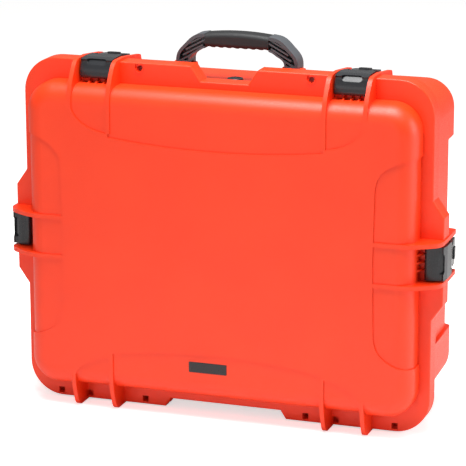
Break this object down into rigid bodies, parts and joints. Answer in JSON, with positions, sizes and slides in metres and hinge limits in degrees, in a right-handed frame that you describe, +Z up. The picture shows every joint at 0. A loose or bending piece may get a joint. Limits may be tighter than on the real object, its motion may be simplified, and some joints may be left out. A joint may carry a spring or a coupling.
{
  "type": "hard equipment case",
  "caption": "Hard-shell equipment case with a hinged lid, over-centre latches, a folding top handle, corner bumpers and a pressure valve.",
  "frame": {"origin": "middle of the box's underside, with the case standing on its hinge side", "axes": "+X across the width, +Y from the lid towards the back of the base, +Z up from the hinge side to the handle"},
  "size_m": [0.6414, 0.224, 0.543],
  "materials": {
    "shell_plastic": "moulded resin, fine satin grain",
    "seal_rubber": "extruded silicone, matt",
    "badge_plastic": "flat glossy plate",
    "pin_steel": "drawn stainless bar",
    "handle_plastic": "moulded nylon, satin",
    "grip_rubber": "soft overmoulded elastomer, matt",
    "valve_plastic": "moulded, satin",
    "membrane": "porous film",
    "latch_plastic": "moulded glass-filled nylon, satin gloss"
  },
  "bodies": {
    "base": {"base_shell": "shell_plastic", "hinge_pin_left": "pin_steel", "hinge_pin_right": "pin_steel", "handle_pin_left": "pin_steel", "handle_pin_right": "pin_steel", "valve_body": "valve_plastic", "valve_membrane": "membrane", "valve_cap": "valve_plastic", "valve_seal_ring": "seal_rubber", "valve_nut": "valve_plastic", "top_left_lever_pin": "pin_steel", "top_right_lever_pin": "pin_steel", "side_left_lever_pin": "pin_steel", "side_right_lever_pin": "pin_steel"},
    "lid": {"lid_shell": "shell_plastic", "lid_gasket": "seal_rubber", "badge_plate": "badge_plastic"},
    "handle": {"handle_frame": "handle_plastic", "handle_grip": "grip_rubber"},
    "top_left_lever_body": {"top_left_lever": "latch_plastic", "top_left_claw_pin": "pin_steel"},
    "top_left_claw_body": {"top_left_claw": "latch_plastic"},
    "top_left_lock_body": {"top_left_slide_lock": "latch_plastic"},
    "top_right_lever_body": {"top_right_lever": "latch_plastic", "top_right_claw_pin": "pin_steel"},
    "top_right_claw_body": {"top_right_claw": "latch_plastic"},
    "top_right_lock_body": {"top_right_slide_lock": "latch_plastic"},
    "side_left_lever_body": {"side_left_lever": "latch_plastic", "side_left_claw_pin": "pin_steel"},
    "side_left_claw_body": {"side_left_claw": "latch_plastic"},
    "side_left_lock_body": {"side_left_slide_lock": "latch_plastic"},
    "side_right_lever_body": {"side_right_lever": "latch_plastic", "side_right_claw_pin": "pin_steel"},
    "side_right_claw_body": {"side_right_claw": "latch_plastic"},
    "side_right_lock_body": {"side_right_slide_lock": "latch_plastic"}
  },
  "joints": [
    {"name": "lid_hinge", "type": "hinge", "parent": "base", "child": "lid", "pos_m": [0, -0.048, 0.006], "axis": [1, 0, 0], "range_deg": [0, 100]},
    {"name": "handle_hinge", "type": "hinge", "parent": "base", "child": "handle", "pos_m": [0, -0.002, 0.49], "axis": [-1, 0, 0], "range_deg": [0, 90]},
    {"name": "top_left_lever_hinge", "type": "hinge", "parent": "base", "child": "top_left_lever_body", "pos_m": [-0.186, -0.038, 0.499], "axis": [1, 0, 0], "range_deg": [0, 90]},
    {"name": "top_left_claw_hinge", "type": "hinge", "parent": "top_left_lever_body", "child": "top_left_claw_body", "pos_m": [-0.186, -0.02676, 0.49994], "axis": [1, 0, 0], "range_deg": [-121.5, 0]},
    {"name": "top_left_lock_slide", "type": "slide", "parent": "top_left_lever_body", "child": "top_left_lock_body", "axis": [0, 0.9903, -0.1392], "range_m": [0, 0.005]},
    {"name": "top_right_lever_hinge", "type": "hinge", "parent": "base", "child": "top_right_lever_body", "pos_m": [0.186, -0.038, 0.499], "axis": [1, 0, 0], "range_deg": [0, 90]},
    {"name": "top_right_claw_hinge", "type": "hinge", "parent": "top_right_lever_body", "child": "top_right_claw_body", "pos_m": [0.186, -0.02676, 0.49994], "axis": [1, 0, 0], "range_deg": [-121.5, 0]},
    {"name": "top_right_lock_slide", "type": "slide", "parent": "top_right_lever_body", "child": "top_right_lock_body", "axis": [0, 0.9903, -0.1392], "range_m": [0, 0.005]},
    {"name": "side_left_lever_hinge", "type": "hinge", "parent": "base", "child": "side_left_lever_body", "pos_m": [-0.3125, -0.038, 0.2525], "axis": [0, 0, 1], "range_deg": [0, 90]},
    {"name": "side_left_claw_hinge", "type": "hinge", "parent": "side_left_lever_body", "child": "side_left_claw_body", "pos_m": [-0.31344, -0.02676, 0.2525], "axis": [0, 0, 1], "range_deg": [-121.5, 0]},
    {"name": "side_left_lock_slide", "type": "slide", "parent": "side_left_lever_body", "child": "side_left_lock_body", "axis": [0.1392, 0.9903, 0], "range_m": [0, 0.005]},
    {"name": "side_right_lever_hinge", "type": "hinge", "parent": "base", "child": "side_right_lever_body", "pos_m": [0.3125, -0.038, 0.2525], "axis": [0, 0, -1], "range_deg": [0, 90]},
    {"name": "side_right_claw_hinge", "type": "hinge", "parent": "side_right_lever_body", "child": "side_right_claw_body", "pos_m": [0.31344, -0.02676, 0.2525], "axis": [0, 0, -1], "range_deg": [-121.5, 0]},
    {"name": "side_right_lock_slide", "type": "slide", "parent": "side_right_lever_body", "child": "side_right_lock_body", "axis": [-0.1392, 0.9903, 0], "range_m": [0, 0.005]}
  ],
  "couplings": [
    {"joint": "top_left_claw_hinge", "follows": "top_left_lever_hinge", "ratio": -1.35},
    {"joint": "top_right_claw_hinge", "follows": "top_right_lever_hinge", "ratio": -1.35},
    {"joint": "side_left_claw_hinge", "follows": "side_left_lever_hinge", "ratio": -1.35},
    {"joint": "side_right_claw_hinge", "follows": "side_right_lever_hinge", "ratio": -1.35}
  ]
}
